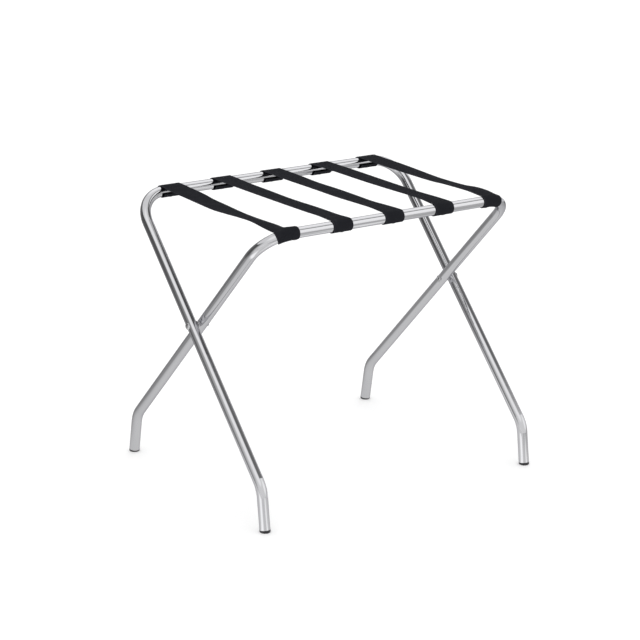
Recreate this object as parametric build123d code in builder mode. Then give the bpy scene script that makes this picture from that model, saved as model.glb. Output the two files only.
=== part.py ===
"""Folding luggage rack: two bent steel tube frames crossed at a riveted pivot, and five webbing straps.

The frame: X runs along the rails, the outer frame's rail is at the back (+Y), Z is up, and the origin is
on the floor under the middle of the rack. All sizes are in millimetres.
"""

import math
import os

from build123d import *

# ---------------------------------------------------------------- driving dimensions
# Tube, of both frames
TUBE_OD = 19.05  # three quarters of an inch
TUBE_WALL = 1.2
CORNER_RADIUS = 57.0  # centreline bend between a rail and a leg
KNEE_RADIUS = 49.0  # centreline bend between a leg and its foot

# Open rack: centreline places of the bent tubes
RAIL_HEIGHT = 500.0
RAIL_REACH = 181.5  # from the middle of the rack to each rail
KNEE_HEIGHT = 74.8
KNEE_REACH = 215.8
FOOT_REACH = 227.0  # where a foot's centreline meets the floor
OUTER_HALF_WIDTH = 291.5  # to a leg's centreline
LEG_GAP = 2.1  # clear distance between the crossing legs

# Foot glides, plugged into the tube ends
GLIDE_LIP = 4.2  # how much of each foot's centreline is glide
GLIDE_ROUND = 1.8
GLIDE_STEM = 22.0
GLIDE_STEM_CLEARANCE = 0.02
GLIDE_STEM_TAPER = 1.2
GLIDE_BORE_RADIUS = 4.5

# Pivot rivets: tubular rivets, headed outside and rolled over inside
PIVOT_RADIUS = 3.0
PIVOT_CLEARANCE = 0.05  # running fit in both legs
PIVOT_HEAD_RADIUS = 6.2
PIVOT_HEAD_HEIGHT = 2.6
PIVOT_HEAD_SEAT = 1.1  # how deep the head's rim reaches down the tube's side
PIVOT_SHOULDER = (0.6, 0.72)  # a point on the head's dome: share of its radius, share of its height
PIVOT_ROLL_RADIUS = 4.4
PIVOT_ROLL_HEIGHT = 1.6
PIVOT_ROLL_PLAY = 0.05
PIVOT_HOLLOW_RADIUS = 1.8
PIVOT_HOLLOW_DEPTH = 7.0
SPACER_RADIUS = 6.4
SPACER_PLAY = 0.1  # each side of a spacer
END_WASHER_RADIUS = 6.0
END_WASHER_THICKNESS = 0.9
END_WASHER_PLAY = 0.1  # from the inner leg's side
RING_CHAMFER_SHARE = 0.2  # of a spacer's or washer's thickness

# Straps
STRAP_NAMES = ["strap_left", "strap_mid_left", "strap_middle", "strap_mid_right", "strap_right"]
STRAP_WIDTH = 40.0
STRAP_CORNER_LAP = 27.6  # how far along X the end straps reach onto the inner frame's corner bends
STRAP_THICKNESS = 1.5
STRAP_RAIL_CLEARANCE = 0.3
STRAP_END_ANGLE = 10.0  # how far below level a strap's cut end stands, on the rail's inner side

# Blind rivets with wide flat heads, which hold each strap end under its rail
STUD_RADIUS = 2.0
STUD_TUBE_CLEARANCE = 0.03
STUD_STRAP_CLEARANCE = 0.35
STUD_HEAD_RADIUS = 4.5
STUD_HEAD_HEIGHT = 1.5
STUD_HEAD_DROP = 0.75  # how far the head's lowest point stands below the strap
STUD_HEAD_PLAY = 0.05  # between the head's hollow back and the strap
STUD_RIM_SHARE = 0.25  # of the head's height, up its straight rim
STUD_SHOULDER = (0.62, 0.16)  # a point on the head's dome: share of its radius, share of its height
STUD_BULB_RADIUS = 3.0
STUD_BULB_HEIGHT = 2.8
STUD_BULB_STRAIGHT = 0.6  # share of the bulb's height below its cone
STUD_BULB_PLAY = 0.05
STUD_CORNER_CLEARANCE = 1.0  # from a head's rim to the start of a corner bend

# ---------------------------------------------------------------- sizes that follow
TUBE_R = TUBE_OD / 2
BORE_R = TUBE_R - TUBE_WALL
INNER_HALF_WIDTH = OUTER_HALF_WIDTH - TUBE_OD - LEG_GAP
RAIL_HALF_WIDTHS = {1: OUTER_HALF_WIDTH, -1: INNER_HALF_WIDTH}  # the back rail's frame, the front rail's
LEG_SLOPE = (RAIL_HEIGHT - KNEE_HEIGHT) / (RAIL_REACH + KNEE_REACH)
PIVOT_HEIGHT = KNEE_HEIGHT + KNEE_REACH * LEG_SLOPE
WRAP_R = TUBE_R + STRAP_RAIL_CLEARANCE
END_STRAP_PLACE = INNER_HALF_WIDTH - CORNER_RADIUS + STRAP_CORNER_LAP - STRAP_WIDTH / 2
STRAP_PITCH = 2 * END_STRAP_PLACE / (len(STRAP_NAMES) - 1)
STRAP_PLACES = [n * STRAP_PITCH - END_STRAP_PLACE for n in range(len(STRAP_NAMES))]
SIDES = {"left": -1, "right": 1}

os.makedirs("parts", exist_ok=True)


def save(piece, name):
    """Labels a finished piece and writes it under its own name."""
    piece.label = name
    export_step(piece, f"parts/{name}.step")


def foot_direction(end):
    """Unit vector down a foot's centreline; end is -1 for the feet in front and 1 for those behind."""
    return Vector(0, end * (FOOT_REACH - KNEE_REACH), -KNEE_HEIGHT).normalized()


def foot_plane(side, half_width, end):
    """Plane across a foot where its tube ends and its glide begins, facing down the foot."""
    down = foot_direction(end)
    floor_point = Vector(side * half_width, end * FOOT_REACH, 0)
    return Plane(origin=floor_point - down * GLIDE_LIP, x_dir=(1, 0, 0), z_dir=down)


def stud_places(rail_side):
    """Where the rivets under a rail stand: in the middle of each strap, but never on a corner bend."""
    straight_end = RAIL_HALF_WIDTHS[rail_side] - CORNER_RADIUS
    furthest = straight_end - STUD_HEAD_RADIUS - STUD_CORNER_CLEARANCE
    return [(max(-furthest, min(furthest, x)), rail_side * RAIL_REACH) for x in STRAP_PLACES]


# ---------------------------------------------------------------- bent frames
def frame_path(half_width, rail_side):
    """Corner points of a frame's centreline, foot to foot; rail_side is 1 for a rail behind."""
    end = -rail_side
    corners = []
    for side in (-1, 1):
        leg = [
            foot_plane(side, half_width, end).origin,
            Vector(side * half_width, end * KNEE_REACH, KNEE_HEIGHT),
            Vector(side * half_width, rail_side * RAIL_REACH, RAIL_HEIGHT),
        ]
        corners += leg if side < 0 else reversed(leg)
    return corners


def bent_tube(half_width, rail_side):
    """A rail and two legs bent from one length of tube, drilled for its rivets."""
    corners = frame_path(half_width, rail_side)
    radii = [KNEE_RADIUS, CORNER_RADIUS, CORNER_RADIUS, KNEE_RADIUS]
    with BuildPart() as tube:
        with BuildLine() as centreline:
            FilletPolyline(*corners, radius=radii)
        with BuildSketch(centreline.line ^ 0):
            Circle(TUBE_R)
            Circle(BORE_R, mode=Mode.SUBTRACT)
        sweep(path=centreline.wires()[0])
        # holes across both legs for the pivot rivets
        with BuildSketch(Plane.YZ.offset(-half_width - TUBE_OD)):
            with Locations((0, PIVOT_HEIGHT)):
                Circle(PIVOT_RADIUS + PIVOT_CLEARANCE)
        extrude(amount=2 * (half_width + TUBE_OD), mode=Mode.SUBTRACT)
        # one hole under the rail for each strap's rivet
        with BuildSketch(Plane.XY.offset(RAIL_HEIGHT)):
            with Locations(*stud_places(rail_side)):
                Circle(STUD_RADIUS + STUD_TUBE_CLEARANCE)
        extrude(amount=-TUBE_OD, mode=Mode.SUBTRACT)
    return tube.part


save(bent_tube(OUTER_HALF_WIDTH, 1), "outer_frame_tube")
save(bent_tube(INNER_HALF_WIDTH, -1), "inner_frame_tube")


# ---------------------------------------------------------------- foot glides
def glide(side, half_width, end):
    """A moulded plug: a hollow stem held in the tube and a rounded lip that stands flat on the floor."""
    seat = foot_plane(side, half_width, end)
    stem_r = BORE_R - GLIDE_STEM_CLEARANCE
    past_floor = GLIDE_LIP + TUBE_R
    # half section of the plug: local X is the radius and local Y runs down the foot
    section = Plane(origin=seat.origin, x_dir=(1, 0, 0), z_dir=Vector(1, 0, 0).cross(seat.z_dir))
    with BuildPart() as plug:
        with BuildSketch(section):
            with BuildLine():
                Polyline(
                    (0, 0),
                    (GLIDE_BORE_RADIUS, 0),
                    (GLIDE_BORE_RADIUS, -GLIDE_STEM),
                    (stem_r - GLIDE_STEM_TAPER, -GLIDE_STEM),
                    (stem_r, 2 * GLIDE_STEM_TAPER - GLIDE_STEM),
                    (stem_r, 0),
                    (TUBE_R, 0),
                    (TUBE_R, past_floor),
                    (0, past_floor),
                    close=True,
                )
            make_face()
        revolve(axis=Axis(seat.origin, seat.z_dir))
        split(bisect_by=Plane.XY, keep=Keep.TOP)
        rim = plug.faces().sort_by(Axis.Z)[0].edges()
        fillet(rim, radius=GLIDE_ROUND)
    return plug.part


for end_word, end in {"front": -1, "back": 1}.items():
    for side_word, side in SIDES.items():
        foot_half_width = OUTER_HALF_WIDTH if end < 0 else INNER_HALF_WIDTH
        save(glide(side, foot_half_width, end), f"glide_{end_word}_{side_word}")


# ---------------------------------------------------------------- pivots
PIVOT_AXIS = Axis((0, 0, PIVOT_HEIGHT), (1, 0, 0))
PIVOT_SECTION = Plane(origin=(0, 0, PIVOT_HEIGHT), x_dir=(0, 1, 0), z_dir=(0, 0, -1))  # local Y is +X
HEAD_SEAT = OUTER_HALF_WIDTH + TUBE_R
END_WASHER_OUTSIDE = INNER_HALF_WIDTH - TUBE_R - END_WASHER_PLAY
END_WASHER_INSIDE = END_WASHER_OUTSIDE - END_WASHER_THICKNESS


def pivot_rivet(side):
    """Domed head outside the outer leg, shank through both legs, hollow end rolled over inside."""
    seat = side * HEAD_SEAT
    rim = side * (HEAD_SEAT - PIVOT_HEAD_SEAT)
    crown = side * (HEAD_SEAT + PIVOT_HEAD_HEIGHT)
    shoulder = (
        PIVOT_HEAD_RADIUS * PIVOT_SHOULDER[0],
        side * (HEAD_SEAT + PIVOT_HEAD_HEIGHT * PIVOT_SHOULDER[1]),
    )
    roll_seat = side * (END_WASHER_INSIDE - PIVOT_ROLL_PLAY)
    roll_end = side * (END_WASHER_INSIDE - PIVOT_ROLL_PLAY - PIVOT_ROLL_HEIGHT)
    roll_middle = (PIVOT_ROLL_RADIUS + PIVOT_HOLLOW_RADIUS) / 2
    hollow_end = roll_seat + side * PIVOT_HOLLOW_DEPTH
    leg_low = (side * OUTER_HALF_WIDTH, -KNEE_REACH, KNEE_HEIGHT)
    leg_way = (0, RAIL_REACH + KNEE_REACH, RAIL_HEIGHT - KNEE_HEIGHT)
    with BuildPart() as rivet:
        with BuildSketch(PIVOT_SECTION):
            with BuildLine():
                ThreePointArc((PIVOT_HEAD_RADIUS, seat), shoulder, (0, crown))
                Polyline((0, crown), (0, rim), (PIVOT_HEAD_RADIUS, rim), (PIVOT_HEAD_RADIUS, seat))
            make_face()
        revolve(axis=PIVOT_AXIS)
        # the head's underside is saddled to the round of the outer leg
        with BuildSketch(Plane(origin=leg_low, z_dir=leg_way)):
            Circle(TUBE_R)
        extrude(amount=2 * KNEE_REACH / math.sin(math.atan(1 / LEG_SLOPE)), mode=Mode.SUBTRACT)
        # shank and rolled end
        with BuildSketch(PIVOT_SECTION):
            with BuildLine():
                ThreePointArc(
                    (PIVOT_ROLL_RADIUS, roll_seat),
                    (roll_middle, roll_end),
                    (PIVOT_HOLLOW_RADIUS, roll_seat),
                )
                Polyline(
                    (PIVOT_HOLLOW_RADIUS, roll_seat),
                    (PIVOT_HOLLOW_RADIUS, hollow_end),
                    (0, hollow_end),
                    (0, seat),
                    (PIVOT_RADIUS, seat),
                    (PIVOT_RADIUS, roll_seat),
                    (PIVOT_ROLL_RADIUS, roll_seat),
                )
            make_face()
        revolve(axis=PIVOT_AXIS)
    return rivet.part


def pivot_ring(side, inside, thickness, radius):
    """A washer round the pivot rivet; inside is its face nearer the middle of the rack."""
    near = Plane(origin=(side * inside, 0, PIVOT_HEIGHT), x_dir=(0, side, 0), z_dir=(side, 0, 0))
    with BuildPart() as ring:
        with BuildSketch(near):
            Circle(radius)
            Circle(PIVOT_RADIUS + PIVOT_CLEARANCE, mode=Mode.SUBTRACT)
        extrude(amount=thickness)
        rims = ring.edges().filter_by(GeomType.CIRCLE).group_by(SortBy.LENGTH)[-1]
        chamfer(rims, length=thickness * RING_CHAMFER_SHARE)
    return ring.part


for side_word, side in SIDES.items():
    spacer_inside = INNER_HALF_WIDTH + TUBE_R + SPACER_PLAY
    spacer_thickness = LEG_GAP - 2 * SPACER_PLAY
    save(pivot_rivet(side), f"pivot_rivet_{side_word}")
    save(
        pivot_ring(side, spacer_inside, spacer_thickness, SPACER_RADIUS),
        f"pivot_spacer_{side_word}",
    )
    save(
        pivot_ring(side, END_WASHER_INSIDE, END_WASHER_THICKNESS, END_WASHER_RADIUS),
        f"pivot_end_washer_{side_word}",
    )


# ---------------------------------------------------------------- straps
def wrap_line(side, nearest, rail_side):
    """The rail's centreline under a strap, from its edge nearest the middle of the rack.

    It is straight along the rail, and bends down the corner where the strap reaches that far.
    """
    leg = Vector(0, -rail_side * (RAIL_REACH + KNEE_REACH), KNEE_HEIGHT - RAIL_HEIGHT).normalized()
    along = Vector(side, 0, 0)
    bend_start = RAIL_HALF_WIDTHS[rail_side] - CORNER_RADIUS
    straight = min(STRAP_WIDTH, bend_start - nearest)
    turn = (STRAP_WIDTH - straight) / CORNER_RADIUS
    edge = Vector(side * nearest, rail_side * RAIL_REACH, RAIL_HEIGHT)
    bend = edge + along * straight

    def on_bend(angle):
        return bend + along * CORNER_RADIUS * math.sin(angle) + leg * CORNER_RADIUS * (1 - math.cos(angle))

    with BuildLine() as line:
        Line(edge, bend)
        if turn > 0:
            ThreePointArc(bend, on_bend(turn / 2), on_bend(turn))
    return line.wires()[0]


def strap(middle, holes):
    """One strap: flat across the rails, then over, round the outside and under each of them."""
    side = -1 if middle < 0 else 1
    nearest = abs(middle) - STRAP_WIDTH / 2
    wrap = 270 - STRAP_END_ANGLE  # from the top of a rail, round its outside, to the strap's cut end
    with BuildPart() as webbing:
        with BuildSketch(Plane.XY.offset(RAIL_HEIGHT + WRAP_R)):
            with Locations((middle, 0)):
                Rectangle(STRAP_WIDTH, 2 * RAIL_REACH)
        extrude(amount=STRAP_THICKNESS)
        for rail_side in RAIL_HALF_WIDTHS:
            edge = (side * nearest, rail_side * RAIL_REACH, RAIL_HEIGHT)
            first = 90 - wrap if side == rail_side else 90
            with BuildSketch(Plane(origin=edge, x_dir=(0, side, 0), z_dir=(side, 0, 0))):  # local Y is +Z
                with BuildLine():
                    outside = CenterArc((0, 0), WRAP_R + STRAP_THICKNESS, first, wrap)
                    inside = CenterArc((0, 0), WRAP_R, first, wrap)
                    Line(outside @ 0, inside @ 0)
                    Line(outside @ 1, inside @ 1)
                make_face()
            sweep(path=wrap_line(side, nearest, rail_side))
        with BuildSketch(Plane.XY.offset(RAIL_HEIGHT)):
            with Locations(*holes):
                Circle(STUD_RADIUS + STUD_STRAP_CLEARANCE)
        extrude(amount=-TUBE_OD, mode=Mode.SUBTRACT)
    return webbing.part


for name, middle, *holes in zip(STRAP_NAMES, STRAP_PLACES, stud_places(-1), stud_places(1)):
    save(strap(middle, holes), name)

# ---------------------------------------------------------------- strap fastenings, five under each rail
STRAP_UNDERSIDE = RAIL_HEIGHT - WRAP_R - STRAP_THICKNESS
STUD_HEAD_BOTTOM = STRAP_UNDERSIDE - STUD_HEAD_DROP
STUD_HEAD_TOP = STUD_HEAD_BOTTOM + STUD_HEAD_HEIGHT
BULB_SEAT = RAIL_HEIGHT - math.sqrt(BORE_R**2 - STUD_BULB_RADIUS**2) + STUD_BULB_PLAY
BULB_TOP = BULB_SEAT + STUD_BULB_HEIGHT
BULB_SHOULDER = BULB_SEAT + STUD_BULB_HEIGHT * STUD_BULB_STRAIGHT
SHANK_FOOT = STRAP_UNDERSIDE - 2 * STUD_HEAD_PLAY  # inside the head


def strap_rivets(rail_side):
    """Blind rivets: a wide low head hollowed to the strap's round, a shank, a bulb set inside the tube."""
    dome_point = (
        STUD_HEAD_RADIUS * STUD_SHOULDER[0],
        STUD_HEAD_BOTTOM + STUD_HEAD_HEIGHT * STUD_SHOULDER[1],
    )
    bottom = (0, STUD_HEAD_BOTTOM)
    rim = (STUD_HEAD_RADIUS, STUD_HEAD_TOP - STUD_HEAD_HEIGHT * STUD_RIM_SHARE)
    with BuildPart() as rivets:
        for x, y in stud_places(rail_side):
            upright = Plane(origin=(x, y, 0), x_dir=(1, 0, 0), z_dir=(0, -1, 0))  # local Y is +Z
            with BuildSketch(upright):
                with BuildLine():
                    ThreePointArc(bottom, dome_point, rim)
                    Polyline(rim, (STUD_HEAD_RADIUS, STUD_HEAD_TOP), (0, STUD_HEAD_TOP), bottom)
                make_face()
            revolve(axis=Axis((x, y, 0), (0, 0, 1)))
        # the heads' backs are hollowed to the round of the strap
        with BuildSketch(Plane.YZ.offset(-OUTER_HALF_WIDTH)):
            with Locations((rail_side * RAIL_REACH, RAIL_HEIGHT)):
                Circle(WRAP_R + STRAP_THICKNESS + STUD_HEAD_PLAY)
        extrude(amount=2 * OUTER_HALF_WIDTH, mode=Mode.SUBTRACT)
        for x, y in stud_places(rail_side):
            upright = Plane(origin=(x, y, 0), x_dir=(1, 0, 0), z_dir=(0, -1, 0))
            with BuildSketch(upright):
                with BuildLine():
                    Polyline(
                        (0, SHANK_FOOT),
                        (STUD_RADIUS, SHANK_FOOT),
                        (STUD_RADIUS, BULB_SEAT),
                        (STUD_BULB_RADIUS, BULB_SEAT),
                        (STUD_BULB_RADIUS, BULB_SHOULDER),
                        (STUD_RADIUS, BULB_TOP),
                        (0, BULB_TOP),
                        close=True,
                    )
                make_face()
            revolve(axis=Axis((x, y, 0), (0, 0, 1)))
    return rivets.part


for end_word, rail_side in {"back": 1, "front": -1}.items():
    save(strap_rivets(rail_side), f"strap_rivets_{end_word}")
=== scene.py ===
"""Looks of the folding luggage rack: plated tubes, woven webbing straps, plugs, rivets and a plain studio.

Metres throughout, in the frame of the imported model: X runs along the rails, the rack's front is towards -Y
and Z is up. Shapes are surfaces worked out with numpy. Materials are node graphs written as arithmetic.
"""

import math

import bpy
import numpy as np
from mathutils import Matrix, Vector


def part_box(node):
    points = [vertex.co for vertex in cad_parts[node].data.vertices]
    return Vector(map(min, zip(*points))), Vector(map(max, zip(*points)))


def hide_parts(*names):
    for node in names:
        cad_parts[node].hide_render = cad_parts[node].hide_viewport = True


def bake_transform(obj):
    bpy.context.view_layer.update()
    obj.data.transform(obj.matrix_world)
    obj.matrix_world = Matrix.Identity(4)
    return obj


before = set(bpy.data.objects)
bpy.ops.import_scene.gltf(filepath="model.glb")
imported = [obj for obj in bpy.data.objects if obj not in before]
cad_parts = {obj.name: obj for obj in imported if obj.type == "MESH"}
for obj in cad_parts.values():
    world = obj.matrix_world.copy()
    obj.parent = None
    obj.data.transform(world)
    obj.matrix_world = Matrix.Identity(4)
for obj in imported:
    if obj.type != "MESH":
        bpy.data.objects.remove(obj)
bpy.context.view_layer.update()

# ---------------------------------------------------------------- sizes shared with the bent frames
MM = 0.001
TUBE_RADIUS = 9.525 * MM
CORNER_RADIUS = 57.0 * MM  # centreline bend between a rail and a leg
RAIL_HEIGHT = 500.0 * MM
RAIL_REACH = 181.5 * MM
KNEE_HEIGHT = 74.8 * MM
KNEE_REACH = 215.8 * MM
FOOT_REACH = 227.0 * MM
HALF_WIDTHS = {1: 291.5 * MM, -1: 270.35 * MM}  # leg centrelines of the back rail's frame, the front rail's

STRAP_WIDTH = 40.0 * MM
STRAP_THICKNESS = 1.45 * MM
STRAP_GAP = 0.32 * MM  # between a tube and the webbing round it
STRAP_SHIFT = {-1: -2.4 * MM, 1: 0.0}  # along X from a strap's place: at the front rail, at the back rail
STRAP_CUP = 0.25 * MM  # how far a strap's middle line hangs below its edges
STRAP_WRAP = math.radians(260.0)  # from the top of a rail, round its outside, to the cut end
TAIL_START = math.radians(184.0)  # just past the rivet, where the free tail starts to stand off the rail
TAIL_FLARE = 2.8 * MM  # how far the cut end stands off
SELVEDGE = 0.62 * MM  # radius of a strap's long edges
MIDDLE_THINNING = 0.06  # share by which a strap is thinner along its middle line
WARP_COLUMNS = 18  # rows of yarn lying along a strap
WARP_RELIEF = 0.09 * MM

# how finely a strap is drawn
POINTS_PER_COLUMN = 4
TOP_POINTS = WARP_COLUMNS * POINTS_PER_COLUMN + 1  # across one face of the webbing
EDGE_POINTS = 7  # round one long edge, between the two faces
WRAP_STATIONS = 60  # round one rail
SPAN_STATIONS = 132  # from rail to rail, with the last station of each wrap
CUT_END_KEEP = ((0, 0.55), (-1, 0.55), (1, 0.93), (-2, 0.93))  # station, share of its thickness kept

# how the straps hang: the long edge nearer the middle of the rack, then the other, as knots of
# (distance from the front rail, height against the straight line between the rails) in mm
RUN = 2 * RAIL_REACH / MM
STRAP_HANG = {
    "strap_left": (
        [(0, 0), (28, -9.2), (60, -10), (110, -11.2), (150, -11.1), (180, -10), (215, -8.2)]
        + [(250, -6.6), (280, -3.6), (320, -1.6), (RUN, 0)],
        [(0, 0), (30, 1), (70, 3.4), (110, 1.6), (150, -1.4), (190, -3.8), (240, -3.4)]
        + [(290, -2.6), (335, -2), (RUN, 0)],
    ),
    "strap_mid_left": (
        [(0, 0), (30, -1.4), (90, -1.7), (140, -2.8), (180, -3.2), (230, -2.5), (300, -1.8), (RUN, 0)],
        [(0, 0), (35, 1.2), (75, 0.4), (130, 0), (200, -0.3), (300, -0.4), (RUN, 0)],
    ),
    "strap_middle": (
        [(0, 0), (35, 1.2), (80, 0.5), (135, -0.7), (200, -0.5), (290, -0.7), (RUN, 0)],
        [(0, 0), (35, -0.9), (80, -2.6), (135, -2), (190, -1.8), (240, -2.4), (310, -0.6), (RUN, 0)],
    ),
    "strap_mid_right": (
        [(0, 0), (35, 2.2), (70, 2.2), (130, 1.2), (200, 0.5), (300, 0.8), (RUN, 0)],
        [(0, 0), (35, -0.2), (90, -1.4), (180, -1.1), (270, -0.2), (RUN, 0)],
    ),
    "strap_right": (
        [(0, 0), (35, 1.8), (60, 1.7), (105, 0.8), (140, -0.9), (200, -1.4), (260, -1.2)]
        + [(320, -0.5), (RUN, 0)],
        [(0, 0), (32, 2.4), (60, 1.7), (90, -1.4), (150, -3.3), (180, -3.2), (240, -1.4)]
        + [(290, -0.3), (RUN, 0)],
    ),
}

# ---------------------------------------------------------------- sizes of the studio
FLOOR_REACH = 14.0  # half the floor's side
# parts of the room brighter than the rest: how much, azimuth from +Y towards +X, elevation, and the
# angles from its middle within which it is full and beyond which it is gone, in degrees
BRIGHT_PATCHES = ((0.28, -140, 55, 18, 32), (0.38, 136, 22, 12, 26), (0.42, 50, 38, 20, 42))
ROOM_BOUNCE = 0.04  # added to what the matt surfaces get
BACKDROP = 1.02  # the room as the camera sees it
DRAPE_DEPTH = 0.8
DRAPE_LEAN = 0.305  # minus the cosine of the drape's angle to the legs
FLAG_RADIUS = 1.6
FLAG_BEARINGS = (-106, 56)  # degrees from +Y towards +X
FLAG_STATIONS = 60
FLAG_FOOT = 0.003
FLAG_TOP = 1.4
APRON_REACH = 5.0  # half the apron's side
APRON_HEIGHT = 0.001

CAMERA_PLACE = (-2.2209, -2.9556, 1.4027)
CAMERA_YAW, CAMERA_PITCH, CAMERA_ROLL = 0.641, 0.298, 0.0211  # radians: right of +Y, down, tilt
CAMERA_LENS = 120.0  # millimetres, on a sensor CAMERA_SENSOR wide
CAMERA_SENSOR = 36.0


# ---------------------------------------------------------------- materials as arithmetic
class Wire:
    """A value in a material's node graph. Arithmetic on it adds Math nodes."""

    def __init__(self, finish, socket):
        self.finish = finish
        self.socket = socket

    def math(self, operation, *others):
        """One Math node on this value and others, in that order."""
        return self.finish.node("ShaderNodeMath", {"operation": operation}, [self, *others])

    def __add__(self, other):
        return self.math("ADD", other)

    def __radd__(self, other):
        return self.math("ADD", other)

    def __sub__(self, other):
        return self.math("SUBTRACT", other)

    def __rsub__(self, other):
        return self.finish.node("ShaderNodeMath", {"operation": "SUBTRACT"}, [other, self])

    def __mul__(self, other):
        return self.math("MULTIPLY", other)

    def __rmul__(self, other):
        return self.math("MULTIPLY", other)

    def __truediv__(self, other):
        return self.math("DIVIDE", other)

    def clip(self):
        """Held between 0 and 1."""
        return self.finish.node("ShaderNodeClamp", {}, [self])

    def step(self, low, high):
        """0 below low, 1 above high, smooth between."""
        return self.finish.node(
            "ShaderNodeMapRange",
            {"interpolation_type": "SMOOTHSTEP"},
            {"Value": self, "From Min": low, "From Max": high},
        )


class Finish:
    """The node graph of one material, or of the world's studio."""

    def __init__(self, tree):
        self.tree = tree
        tree.nodes.clear()

    def node(self, kind, settings=None, sockets=(), out=0):
        """Adds a node: its settings first, then the values or wires of its sockets. Returns output out."""
        made = self.tree.nodes.new(kind)
        for name, value in (settings or {}).items():
            setattr(made, name, value)
        pairs = sockets.items() if isinstance(sockets, dict) else enumerate(sockets)
        for name, value in pairs:
            if isinstance(value, Wire):
                self.tree.links.new(value.socket, made.inputs[name])
            else:
                made.inputs[name].default_value = value
        return Wire(self, made.outputs[out]) if len(made.outputs) else None

    def part(self, vector, axis):
        """One component of a vector: axis is 0, 1 or 2."""
        return self.node("ShaderNodeSeparateXYZ", {}, [vector], out=axis)

    def place(self, axes="Object"):
        """The point being shaded, in a coordinate set such as Object or UV."""
        return self.node("ShaderNodeTexCoord", {}, (), out=axes)

    def noise(self, vector, scale, detail=3.0, roughness=0.55):
        """Soft noise between 0 and 1, with about scale lumps to the metre."""
        return self.node(
            "ShaderNodeTexNoise",
            {},
            {"Vector": vector, "Scale": scale, "Detail": detail, "Roughness": roughness},
        )

    def stretched(self, vector, x, y, z):
        """A vector with its components multiplied by x, y and z."""
        return self.node("ShaderNodeVectorMath", {"operation": "MULTIPLY"}, [vector, (x, y, z)])

    def colour(self, share, first, second):
        """From colour first, where share is 0, to colour second, where share is 1."""
        return self.node(
            "ShaderNodeMix",
            {"data_type": "RGBA", "clamp_factor": True},
            {0: share, 6: first, 7: second},
            out=2,
        )

    def bump(self, height, distance, strength=1.0):
        """A normal roughened by height, whose full range is distance metres."""
        return self.node(
            "ShaderNodeBump", {}, {"Height": height, "Distance": distance, "Strength": strength}
        )

    def surface(self, **sockets):
        """The Principled shader and the material's output."""
        named = {name.replace("_", " "): value for name, value in sockets.items()}
        shader = self.node("ShaderNodeBsdfPrincipled", {}, named)
        self.node("ShaderNodeOutputMaterial", {}, {"Surface": shader})

    def lamp(self, light):
        """White light given off, as strong as light says at each point, and the material's output."""
        shader = self.node("ShaderNodeEmission", {}, {"Color": light, "Strength": 1.0})
        self.node("ShaderNodeOutputMaterial", {}, {"Surface": shader})


def new_finish(name):
    """An empty material and its node graph."""
    material = bpy.data.materials.new(name)
    material.use_nodes = True
    return material, Finish(material.node_tree)


def plated_chrome():
    """Bright plating: a mirror with faint polishing haze, smears along X and very low soft ripples."""
    material, m = new_finish("plated_chrome")
    point = m.place()
    haze = m.noise(point, 9.0, 4.0, 0.6)
    smear = m.noise(m.stretched(point, 160.0, 22.0, 22.0), 1.0, 3.0)
    wipe = haze.step(0.45, 0.75)
    m.surface(
        Base_Color=m.colour(haze, (0.555, 0.555, 0.575, 1), (0.60, 0.60, 0.612, 1)),
        Metallic=1.0,
        Specular_Tint=(0.6, 0.6, 0.62, 1),
        Roughness=0.045 + 0.035 * wipe + 0.03 * smear,
        Normal=m.bump(m.noise(point, 55.0, 2.0, 0.4), 0.00006, 0.5),
    )
    return material


def rivet_steel():
    """Zinc-plated steel: dull bright metal, mottled, with fine turning marks."""
    material, m = new_finish("rivet_steel")
    point = m.place()
    mottle = m.noise(point, 420.0, 3.0)
    scratch = m.noise(m.stretched(point, 300.0, 2400.0, 2400.0), 1.0, 2.0)
    m.surface(
        Base_Color=m.colour(mottle, (0.50, 0.50, 0.51, 1), (0.68, 0.68, 0.69, 1)),
        Metallic=1.0,
        Roughness=0.17 + 0.14 * mottle + 0.05 * scratch,
        Normal=m.bump(mottle + 0.4 * scratch, 0.00003, 0.6),
    )
    return material


def moulded_plug():
    """Black moulded plastic: fine spark-eroded grain, scuffed grey where it stands on the floor."""
    material, m = new_finish("moulded_plug")
    point = m.place()
    grain = m.noise(point, 1700.0, 2.0)
    patch = m.noise(point, 260.0, 4.0, 0.65)
    low = 1 - m.part(point, 2).step(0.3 * MM, 2.2 * MM)
    scuff = (low * patch.step(0.42, 0.62)).clip()
    m.surface(
        Base_Color=m.colour(scuff, (0.012, 0.012, 0.014, 1), (0.06, 0.058, 0.055, 1)),
        Roughness=0.42 + 0.3 * scuff + 0.1 * grain,
        Specular_IOR_Level=0.4,
        Normal=m.bump(grain + 1.5 * scuff * patch, 0.00004, 0.6),
    )
    return material


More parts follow.
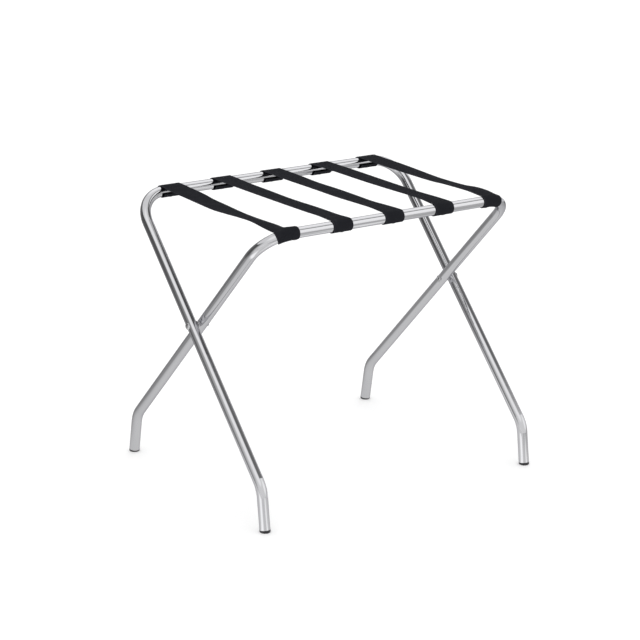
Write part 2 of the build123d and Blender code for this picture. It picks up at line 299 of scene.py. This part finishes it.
def black_webbing():
    """Woven webbing. In the strap's own map, in metres, u runs along it and v across.

    Each warp column carries knuckles half a pitch out of step with its neighbours. Height is the column's
    round times the knuckle's round. Fine slanting lines are the filaments of each yarn.
    """
    material, m = new_finish("black_webbing")
    strap_map = m.place("UV")
    along = m.part(strap_map, 0)
    across = m.part(strap_map, 1)
    knuckle_pitch, filament_pitch, filament_slant = 2.6 * MM, 0.42 * MM, 0.8
    column = across * (WARP_COLUMNS / STRAP_WIDTH)
    odd = (column * 0.5).math("FRACT").math("GREATER_THAN", 0.5)
    column_round = ((column.math("FRACT") - 0.5) * math.pi).math("COSINE")
    knuckle = (along / knuckle_pitch + odd * 0.5) * (2 * math.pi)
    knuckle_round = 0.5 + 0.5 * knuckle.math("COSINE")
    weave = column_round.math("ABSOLUTE") * (0.35 + 0.65 * knuckle_round)
    slant = (odd * 2 - 1) * across
    filament_turn = (along + filament_slant * slant) * (2 * math.pi / filament_pitch)
    filament = 0.5 + 0.5 * filament_turn.math("SINE")
    cloudy = m.noise(strap_map, 46.0, 4.0, 0.6)
    fuzz = m.noise(strap_map, 2600.0, 2.0)
    edge = (across / STRAP_WIDTH - 0.5).math("ABSOLUTE").step(0.45, 0.5)
    worn = (edge * 0.55 + cloudy.step(0.5, 0.8) * 0.25 + weave * 0.3 * cloudy).clip()
    # painted shade: the weave's low parts are coloured darker than its raised knuckles
    weave_shade = m.colour(weave, (0.0080, 0.0084, 0.0106, 1), (0.0215, 0.0222, 0.0265, 1))
    m.surface(
        Base_Color=m.colour(worn * 0.8, weave_shade, (0.041, 0.0422, 0.0495, 1)),
        Roughness=0.86 + 0.1 * fuzz - 0.06 * worn,
        Specular_IOR_Level=0.02,
        Normal=m.bump(weave + 0.16 * filament + 0.12 * fuzz, 0.00045, 0.75),
    )
    return material


# ---------------------------------------------------------------- shapes
def mesh_piece(name, points, faces, material, piece_map=None):
    """A smooth piece from points and faces. piece_map holds a (u, v) for each point."""
    mesh = bpy.data.meshes.new(name)
    mesh.from_pydata(points.tolist(), [], faces.tolist())
    if piece_map is not None:
        layer = mesh.uv_layers.new(name="along_across")
        corner = np.empty(len(mesh.loops), np.int32)
        mesh.loops.foreach_get("vertex_index", corner)
        layer.data.foreach_set("uv", piece_map[corner].astype(np.float32).ravel())
    mesh.polygons.foreach_set("use_smooth", np.ones(len(mesh.polygons), bool))
    mesh.materials.append(material)
    mesh.update()
    piece = bpy.data.objects.new(name, mesh)
    bpy.context.scene.collection.objects.link(piece)
    return piece


def rail_frames(reach, rail_side, side):
    """Centreline points of a rail and the two directions across the tube there.

    reach is the distance along the centreline from the middle of the rack, on the side given. The
    centreline is straight up to the corner, then turns by angle q: start + R sin q along X + R (1 - cos q)
    down the leg. Returns the points, the directions that start as up, and those that start as outwards.
    """
    leg = np.array([0, -rail_side * (RAIL_REACH + KNEE_REACH), KNEE_HEIGHT - RAIL_HEIGHT])
    leg = leg / np.linalg.norm(leg)
    along = np.array([side, 0.0, 0.0])
    start = HALF_WIDTHS[rail_side] - CORNER_RADIUS
    turn = np.maximum(reach - start, 0)[:, None] / CORNER_RADIUS
    base = np.array([0, rail_side * RAIL_REACH, RAIL_HEIGHT])
    straight = np.minimum(reach, start)[:, None]
    points = base + along * (straight + CORNER_RADIUS * np.sin(turn))
    points = points + leg * CORNER_RADIUS * (1 - np.cos(turn))

    def turned(direction):
        """The part of a direction that lies along the leg turns with the bend, the rest stays."""
        share = direction @ leg
        return direction + share * (leg * (np.cos(turn) - 1) - along * np.sin(turn))

    return points, turned(np.array([0, 0, 1.0])), turned(np.array([0, float(rail_side), 0]))


def hung(distance, knots):
    """Height of a strap's long edge along its run, against the straight line between the two rails.

    A cubic through knots of (distance, height) in mm, level at both ends. At each knot between them its
    slope is the mean slope from the knot before to the knot after.
    """
    place, height = np.array(knots).T * MM
    slope = np.zeros(len(place))
    slope[1:-1] = (height[2:] - height[:-2]) / (place[2:] - place[:-2])
    before = np.clip(np.searchsorted(place, distance, side="right") - 1, 0, len(place) - 2)
    after = before + 1
    width = place[after] - place[before]
    s = (distance - place[before]) / width
    rise = 3 * s**2 - 2 * s**3
    leave = s**3 - 2 * s**2 + s
    arrive = s**3 - s**2
    bends = width * (slope[before] * leave + slope[after] * arrive)
    return height[before] * (1 - rise) + height[after] * rise + bends


def webbing_section():
    """A strap's section as a closed ring: distance across and height above its underside.

    Both faces carry the warp columns' low rounds, |sin| of the distance across, and the long edges are
    half ovals. The top runs one way and the underside the other, point for point.
    """
    inner = np.linspace(SELVEDGE, STRAP_WIDTH - SELVEDGE, TOP_POINTS)
    ribs = WARP_RELIEF * (1 - np.abs(np.sin(np.pi * WARP_COLUMNS * (inner / STRAP_WIDTH))))
    swell = 1 - MIDDLE_THINNING * np.sin(np.pi * inner / STRAP_WIDTH)
    round_angle = np.linspace(np.pi / 2, -np.pi / 2, EDGE_POINTS + 2)[1:-1]
    rounding = np.stack([np.cos(round_angle), np.sin(round_angle)], 1)
    half = STRAP_THICKNESS / 2
    edge_height = half + half * rounding[:, 1]
    far = np.stack([STRAP_WIDTH - SELVEDGE + SELVEDGE * rounding[:, 0], edge_height], 1)
    near = np.stack([SELVEDGE - SELVEDGE * rounding[:, 0], edge_height], 1)[::-1]
    top = np.stack([inner, half + half * swell - ribs], 1)
    under = np.stack([inner, half - half * swell + ribs], 1)[::-1]
    return np.concatenate([top, far, under, near])


def strap_surface(middle, inner_edge, outer_edge):
    """One webbing strap: its points, side faces and end caps, how far along each station is, its section.

    Stations run from the cut end under the front rail, round its outside, over it, across, and the same
    round the back rail. Round a rail: centre + (gap + height) * (cos a * up + sin a * out), where the gap
    grows smoothly past the rivet, 3 t^2 - 2 t^3 of the tail's flare at share t of the way. Across: the
    straight line between the two rails' tops, raised by each long edge's height there, which is shared
    out across the width. Both edges are given as knots, the one nearer the middle of the rack first. The
    end caps leave the half round of each long edge open.
    """
    side = -1 if middle < -MM else 1
    section = webbing_section()
    reach = abs(middle) - STRAP_WIDTH / 2 + section[:, 0]
    radius = (TUBE_RADIUS + STRAP_GAP + section[:, 1])[None, :, None]
    angles = np.linspace(STRAP_WRAP, 0, WRAP_STATIONS)
    rings = {}
    for rail_side in (-1, 1):
        shifted = reach + side * STRAP_SHIFT[rail_side]
        centre, up, out = rail_frames(shifted, rail_side, side)
        turn = angles[:, None, None]
        past_rivet = np.clip((turn - TAIL_START) / (STRAP_WRAP - TAIL_START), 0, 1)
        flare = TAIL_FLARE * past_rivet**2 * (3 - 2 * past_rivet)
        rings[rail_side] = centre + (radius + flare) * (np.cos(turn) * up + np.sin(turn) * out)
    share = np.linspace(0, 1, SPAN_STATIONS)[1:-1, None]
    front_top, back_top = rings[-1][-1], rings[1][-1]
    span = front_top + share[:, :, None] * (back_top - front_top)
    distance = 2 * RAIL_REACH * share
    across = (section[:, 0] / STRAP_WIDTH)[None, :]
    near_edge, far_edge = hung(distance, inner_edge), hung(distance, outer_edge)
    cup = 4 * across * (1 - across) * STRAP_CUP * np.sin(np.pi * share)
    span[:, :, 2] += near_edge * (1 - across) + far_edge * across - cup
    grid = np.concatenate([rings[-1], span, rings[1][::-1]])
    # each point's partner on the other face, and the melted cut ends, where two stations draw in
    stations, count = grid.shape[:2]
    top = np.arange(TOP_POINTS)
    under = 2 * TOP_POINTS + EDGE_POINTS - 1 - top
    partner = np.arange(count)
    partner[top], partner[under] = under, top
    spine = (grid + grid[:, partner]) / 2
    for station, keep in CUT_END_KEEP:
        grid[station] = spine[station] + (grid[station] - spine[station]) * keep
    steps = np.linalg.norm(np.diff(spine[:, TOP_POINTS // 2], axis=0), axis=1)
    along = np.concatenate([[0], np.cumsum(steps)])
    index = np.arange(stations * count).reshape(stations, count)
    following = np.roll(index, -1, axis=1)
    quads = np.stack([index[:-1], index[1:], following[1:], following[:-1]], -1).reshape(-1, 4)
    caps = []
    for row, order in ((index[0], 1), (index[-1], -1)):
        cap = np.stack([row[top[:-1]], row[top[1:]], row[under[1:]], row[under[:-1]]], -1)
        caps.append(cap[:, ::order])
    return grid.reshape(-1, 3), quads, caps, along, section


def facing_out(points, quads, faces):
    """The faces, turned over if the quads (a, b, c, d) make the sum of a.(b x c) + a.(c x d) negative."""
    a, b, c, d = points[quads].transpose(1, 0, 2)
    volume = np.sum(a * (np.cross(b, c) + np.cross(c, d)))
    return faces[:, ::-1] if volume < 0 else faces


# ---------------------------------------------------------------- studio
def room():
    """A bright even room with three brighter patches and a dark drape arching over the right.

    The drape is the directions whose angle to the legs of the back rail's frame is near one value.
    """
    world = bpy.data.worlds.new("studio")
    bpy.context.scene.world = world
    world.use_nodes = True
    w = Finish(world.node_tree)
    ray = w.place("Generated")

    def along_ray(direction):
        """Cosine of the angle between the ray and a direction of length 1."""
        return w.node("ShaderNodeVectorMath", {"operation": "DOT_PRODUCT"}, [ray, direction], out="Value")

    light = 1.0
    for gain, azimuth, elevation, inside, outside in BRIGHT_PATCHES:
        a, e = math.radians(azimuth), math.radians(elevation)
        aim = (math.sin(a) * math.cos(e), math.cos(a) * math.cos(e), math.sin(e))
        full, gone = math.cos(math.radians(inside)), math.cos(math.radians(outside))
        light = light + gain * along_ray(aim).step(gone, full)

    leg = (0, -(RAIL_REACH + KNEE_REACH), KNEE_HEIGHT - RAIL_HEIGHT)
    length = math.hypot(*leg)
    lean = along_ray([c / length for c in leg])
    drape = 1 - (lean + DRAPE_LEAN).math("ABSOLUTE").step(0.045, 0.095)
    drape = drape * w.part(ray, 0).step(-0.22, 0.26) * w.part(ray, 2).step(-0.05, 0.45)
    light = light - DRAPE_DEPTH * drape
    camera_ray = w.node("ShaderNodeLightPath", {}, (), out="Is Camera Ray")
    diffuse_ray = w.node("ShaderNodeLightPath", {}, (), out="Is Diffuse Ray")
    strength = light * (1 - camera_ray) * (1 + ROOM_BOUNCE * diffuse_ray) + camera_ray * BACKDROP
    background = w.node("ShaderNodeBackground", {}, {"Color": (1, 1, 1, 1), "Strength": strength})
    w.node("ShaderNodeOutputWorld", {}, {"Surface": background})


def level_square(name, reach, height, material):
    """A level square round the origin: corners at plus and minus reach in X and Y, at one height."""
    corners = np.array([[-reach, -reach, height], [reach, -reach, height]])
    corners = np.concatenate([corners, corners[::-1] * [1, -1, 1]])
    return mesh_piece(name, corners, np.array([[0, 1, 2, 3]]), material)


def pale_floor():
    """A large pale floor that glows a little, so that it runs into the room."""
    material, m = new_finish("pale_floor")
    m.surface(
        Base_Color=(0.86, 0.86, 0.86, 1),
        Roughness=0.9,
        Specular_IOR_Level=0.1,
        Emission_Color=(1, 1, 1, 1),
        Emission_Strength=0.13,
    )
    level_square("floor", FLOOR_REACH, 0, material)


def dark_flag():
    """An arc of card standing on the floor, darkest towards the left and fading to the back.

    A cylinder's wall: radius * (sin t, cos t) at the bearings t, from the foot to the top.
    """
    turn = np.radians(np.linspace(*FLAG_BEARINGS, FLAG_STATIONS))
    ring = FLAG_RADIUS * np.stack([np.sin(turn), np.cos(turn), 0 * turn], 1)
    step = np.arange(len(turn) - 1)
    strip = np.stack([step, step + 1, step + 1 + len(turn), step + len(turn)], 1)
    points = np.concatenate([ring + [0, 0, FLAG_FOOT], ring + [0, 0, FLAG_TOP]])

    material, m = new_finish("dark_flag")
    point = m.place()
    bearing = m.part(point, 0).math("ARCTAN2", m.part(point, 1)) * (180 / math.pi)
    height = m.part(point, 2)
    light = 0.12 + 0.25 * bearing.step(-50, -5) + 0.3 * bearing.step(-5, 30)
    light = light + 0.33 * bearing.step(28, 55)
    fade = 1 - (bearing + 9 * height.step(0.6, 1.1)).step(-106, -68)
    m.lamp(light + 0.8 * fade + 0.06 * (1 - height.step(0.1, 0.45)))
    return mesh_piece("dark_flag", points, strip, material)


def dim_apron():
    """A card on the floor, dimmer behind and before the rack, with bright wedges at the front feet."""
    material, m = new_finish("dim_apron")
    point = m.place()
    x, y = m.part(point, 0), m.part(point, 1)
    beside = (-0.3 - x).math("MAXIMUM", 0)
    behind = (y + 0.5 * beside).step(0.12, 0.6) * (0.55 - 0.15 * x.step(0.1, 0.8))
    before = 0.32 * (0.64 * x - 0.77 * y).step(0.35, 0.9)
    # round each front foot, two bright wedges and dimmer floor between them
    beside_foot = x - x.math("SIGN") * HALF_WIDTHS[1]
    before_foot = y + FOOT_REACH
    bearing = beside_foot.math("ARCTAN2", before_foot) * (180 / math.pi)
    wedges = 0.62 * (1 - (bearing + 103).math("ABSOLUTE").step(12, 34))
    wedges = wedges + 0.5 * (1 - (bearing - 166).math("ABSOLUTE").step(8, 24)) - 0.1
    near_foot = (beside_foot * beside_foot + before_foot * before_foot).math("SQRT")
    wedges = wedges * (1 - near_foot.step(0.35, 0.8))
    m.lamp(0.97 - behind - before + wedges)
    return level_square("dim_apron", APRON_REACH, APRON_HEIGHT, material)


def studio():
    """The room, the floor, and two cards that only mirror reflections see."""
    room()
    pale_floor()
    for card in (dark_flag(), dim_apron()):
        card.visible_camera = False
        card.visible_diffuse = False
        card.visible_shadow = False


def camera():
    """A long lens on the front left, a little above the rails, looking slightly down."""
    yaw, pitch, roll = CAMERA_YAW, CAMERA_PITCH, CAMERA_ROLL
    level = math.cos(pitch)
    ahead = Vector((math.sin(yaw) * level, math.cos(yaw) * level, -math.sin(pitch)))
    right = Vector((math.cos(yaw), -math.sin(yaw), 0))
    up = right.cross(ahead)
    sideways = right * math.cos(roll) + up * math.sin(roll)
    upright = up * math.cos(roll) - right * math.sin(roll)
    lens = bpy.data.cameras.new("camera")
    lens.lens = CAMERA_LENS
    lens.sensor_width = CAMERA_SENSOR
    holder = bpy.data.objects.new("camera", lens)
    bpy.context.scene.collection.objects.link(holder)
    turned = Matrix((sideways, upright, -ahead)).transposed().to_4x4()
    holder.matrix_world = Matrix.Translation(CAMERA_PLACE) @ turned
    bpy.context.scene.camera = holder


camera()
studio()
bpy.context.scene.view_settings.view_transform = "Standard"

CHROME = plated_chrome()
STEEL = rivet_steel()
PLUG = moulded_plug()
WEBBING = black_webbing()


def finish_of(node_name):
    """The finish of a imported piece, by its name."""
    if node_name.endswith("frame_tube"):
        return CHROME
    if node_name.startswith("glide"):
        return PLUG
    if node_name.startswith("strap_") and "rivets" not in node_name:
        return WEBBING
    return STEEL


for node_name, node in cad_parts.items():
    for material_slot in node.material_slots:
        material_slot.material = finish_of(node_name)

for strap_name, (inner_edge, outer_edge) in STRAP_HANG.items():
    low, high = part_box(strap_name)
    # an end strap's outer edge follows a corner bend, so its middle is taken from its inner edge
    if strap_name == "strap_left":
        middle = high.x - STRAP_WIDTH / 2
    elif strap_name == "strap_right":
        middle = low.x + STRAP_WIDTH / 2
    else:
        middle = (low.x + high.x) / 2
    points, quads, caps, along, section = strap_surface(middle, inner_edge, outer_edge)
    strap_map = np.stack(np.broadcast_arrays(along[:, None], section[None, :, 0]), -1).reshape(-1, 2)
    faces = facing_out(points, quads, np.concatenate([quads, *caps]))
    piece = mesh_piece("webbing_" + strap_name, points, faces, WEBBING, strap_map)
    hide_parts(strap_name)
    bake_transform(piece)
